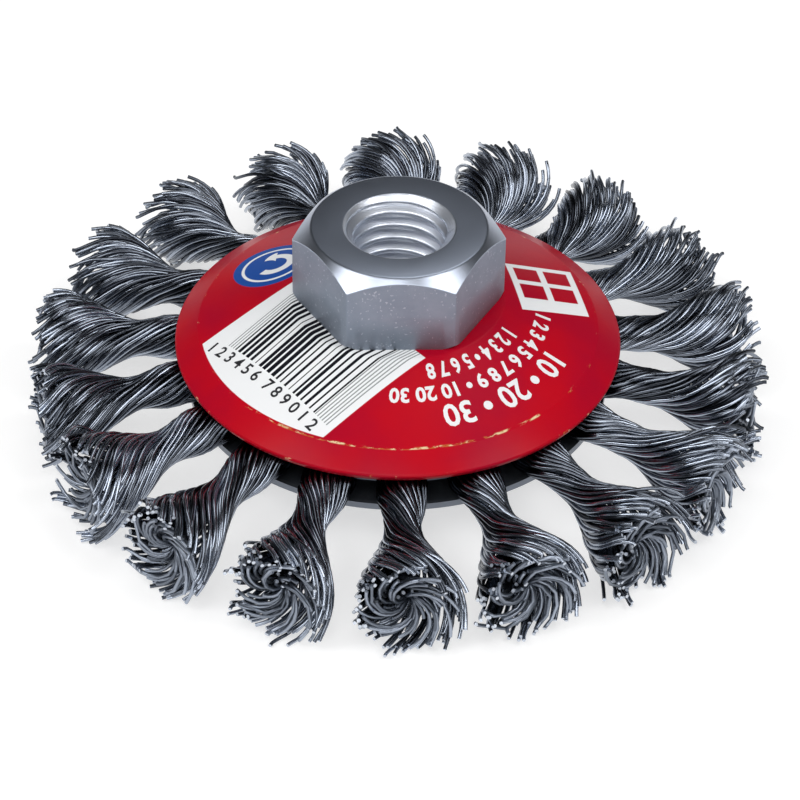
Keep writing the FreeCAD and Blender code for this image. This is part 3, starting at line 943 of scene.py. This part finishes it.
def makeDarkSteel(finish):
    made, graph = newMaterial("darkSteel")
    place, (x, y, _) = millimetres(graph)
    cloud = noise(graph, place, finish["cloudScale"], 4.0, 0.6)
    # painted highlight: the outer edge is mixed towards a lighter colour; its lower roughness is
    # its polish
    edge = graph.ease(graph.length(x, y), *finish["edgeRadii"])
    colour = graph.mix(cloud, finish["dark"], finish["light"])
    roughness = finish["roughness"] + (cloud - 0.5) * finish["roughnessSpread"]
    rolled = noise(graph, place, finish["rolledScale"])
    surface(graph, {
        "Base Color": graph.mix(edge * finish["edgeHighlightShare"], colour, finish["edge"]),
        "Metallic": finish["metal"], "Roughness": roughness - edge * finish["edgePolish"],
        "Normal": bump(graph, rolled, finish["bump"], 0.02 * mm)})
    return made


def dressPlates():
    steel = makeDarkSteel(darkFinish)
    for name in ("tuft_disc", "back_plate"):
        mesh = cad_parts[name].data
        mesh.materials.clear()
        mesh.materials.append(steel)
    print("disc and back plate dressed")


# Floor, lamps, world and camera

floorSizes = {"radius": 4.0, "sides": 64, "colour": (0.50, 0.50, 0.50, 1), "glow": 0.60}
lampPlaces = {
    "keyLamp": {"azimuth": -100, "elevation": 54, "distance": 0.75, "size": 0.44, "power": 1.35},
    "frontLamp": {"azimuth": -82, "elevation": 16, "distance": 0.80, "size": 0.50, "power": 1.1},
    "leftLamp": {"azimuth": 206, "elevation": 50, "distance": 0.80, "size": 0.40, "power": 1.65},
    "rightLamp": {"azimuth": -26, "elevation": 50, "distance": 0.80, "size": 0.40, "power": 1.65},
    "backLamp": {"azimuth": 75, "elevation": 62, "distance": 0.80, "size": 0.46, "power": 0.9},
}
lampTarget = (0, 0, 0.012)
worldLevels = {"fill": 0.29, "horizon": 1.0, "overhead": 0.04, "skyBand": (0.02, 0.22)}
cameraPlace = {"target": (0.401, 0.0, 2.516), "elevation": 38.16, "distance": 444.45, "roll": 0.80,
               "lens": 149.4, "sensor": 36.0}


def rayKinds(graph):
    # rays from the camera, and those that a surface mirrors or lets through
    camera, glossy, passing = graph.node("ShaderNodeLightPath", {}, {}, out=(
        "Is Camera Ray", "Is Glossy Ray", "Is Transmission Ray"))
    return camera, glossy + passing


def makeFloor():
    made, graph = newMaterial("paleFloor")
    camera, bounced = rayKinds(graph)
    seen = graph.clamp(camera + bounced)
    matt = graph.node("ShaderNodeBsdfDiffuse", {}, {"Color": floorSizes["colour"]})
    glow = graph.node("ShaderNodeEmission", {}, {"Strength": seen * floorSizes["glow"]})
    both = graph.node("ShaderNodeAddShader", {}, {0: matt, 1: glow})
    graph.node("ShaderNodeOutputMaterial", {}, {"Surface": both})
    bpy.ops.mesh.primitive_circle_add(
        vertices=floorSizes["sides"], radius=floorSizes["radius"], fill_type="NGON")
    floor = bpy.context.object
    floor.name = "paleFloor"
    floor.data.materials.append(made)


def aimed(place, target):
    return (target - place).to_track_quat("-Z", "Y").to_euler()


def makeLamps():
    target = Vector(lampTarget)
    for name, lamp in lampPlaces.items():
        data = bpy.data.lights.new(name, "AREA")
        data.shape = "DISK"
        data.size = lamp["size"]
        data.energy = lamp["power"]
        made = bpy.data.objects.new(name, data)
        scene.collection.objects.link(made)
        azimuth = math.radians(lamp["azimuth"])
        elevation = math.radians(lamp["elevation"])
        made.location = target + lamp["distance"] * Vector((
            math.cos(azimuth) * math.cos(elevation), math.sin(azimuth) * math.cos(elevation),
            math.sin(elevation)))
        made.rotation_euler = aimed(made.location, target)


def makeWorld():
    world = bpy.data.worlds.new("studio")
    scene.world = world
    world.use_nodes = True
    graph = Graph(world.node_tree)
    level = worldLevels
    place = graph.node("ShaderNodeTexCoord", {}, {}, out="Generated")
    high = graph.node("ShaderNodeSeparateXYZ", {}, {0: place}, out="Z")
    camera, bounced = rayKinds(graph)
    sky = graph.between(graph.ease(high, *level["skyBand"]), level["horizon"], level["overhead"])
    mirrored = graph.between(graph.clamp(bounced), level["fill"], sky)
    strength = graph.between(camera, mirrored, 1.0)
    back = graph.node("ShaderNodeBackground", {}, {"Color": (1, 1, 1, 1), "Strength": strength})
    graph.node("ShaderNodeOutputWorld", {}, {"Surface": back})


def makeCamera():
    place = cameraPlace
    target = Vector(place["target"]) * mm
    elevation = math.radians(place["elevation"])
    data = bpy.data.cameras.new("camera")
    data.lens = place["lens"]
    data.sensor_width = place["sensor"]
    camera = bpy.data.objects.new("camera", data)
    scene.collection.objects.link(camera)
    outward = Vector((0, -math.cos(elevation), math.sin(elevation)))
    camera.location = target + place["distance"] * mm * outward
    upright = aimed(camera.location, target).to_matrix()
    rolled = upright @ Matrix.Rotation(math.radians(place["roll"]), 3, "Z")
    camera.rotation_euler = rolled.to_euler()
    scene.camera = camera


makeKnots()
makeCup()
makeNumbers()
makeNut()
dressPlates()
makeFloor()
makeLamps()
makeWorld()
makeCamera()
scene.view_settings.view_transform = "Standard"
print("stage, lamps and camera made")
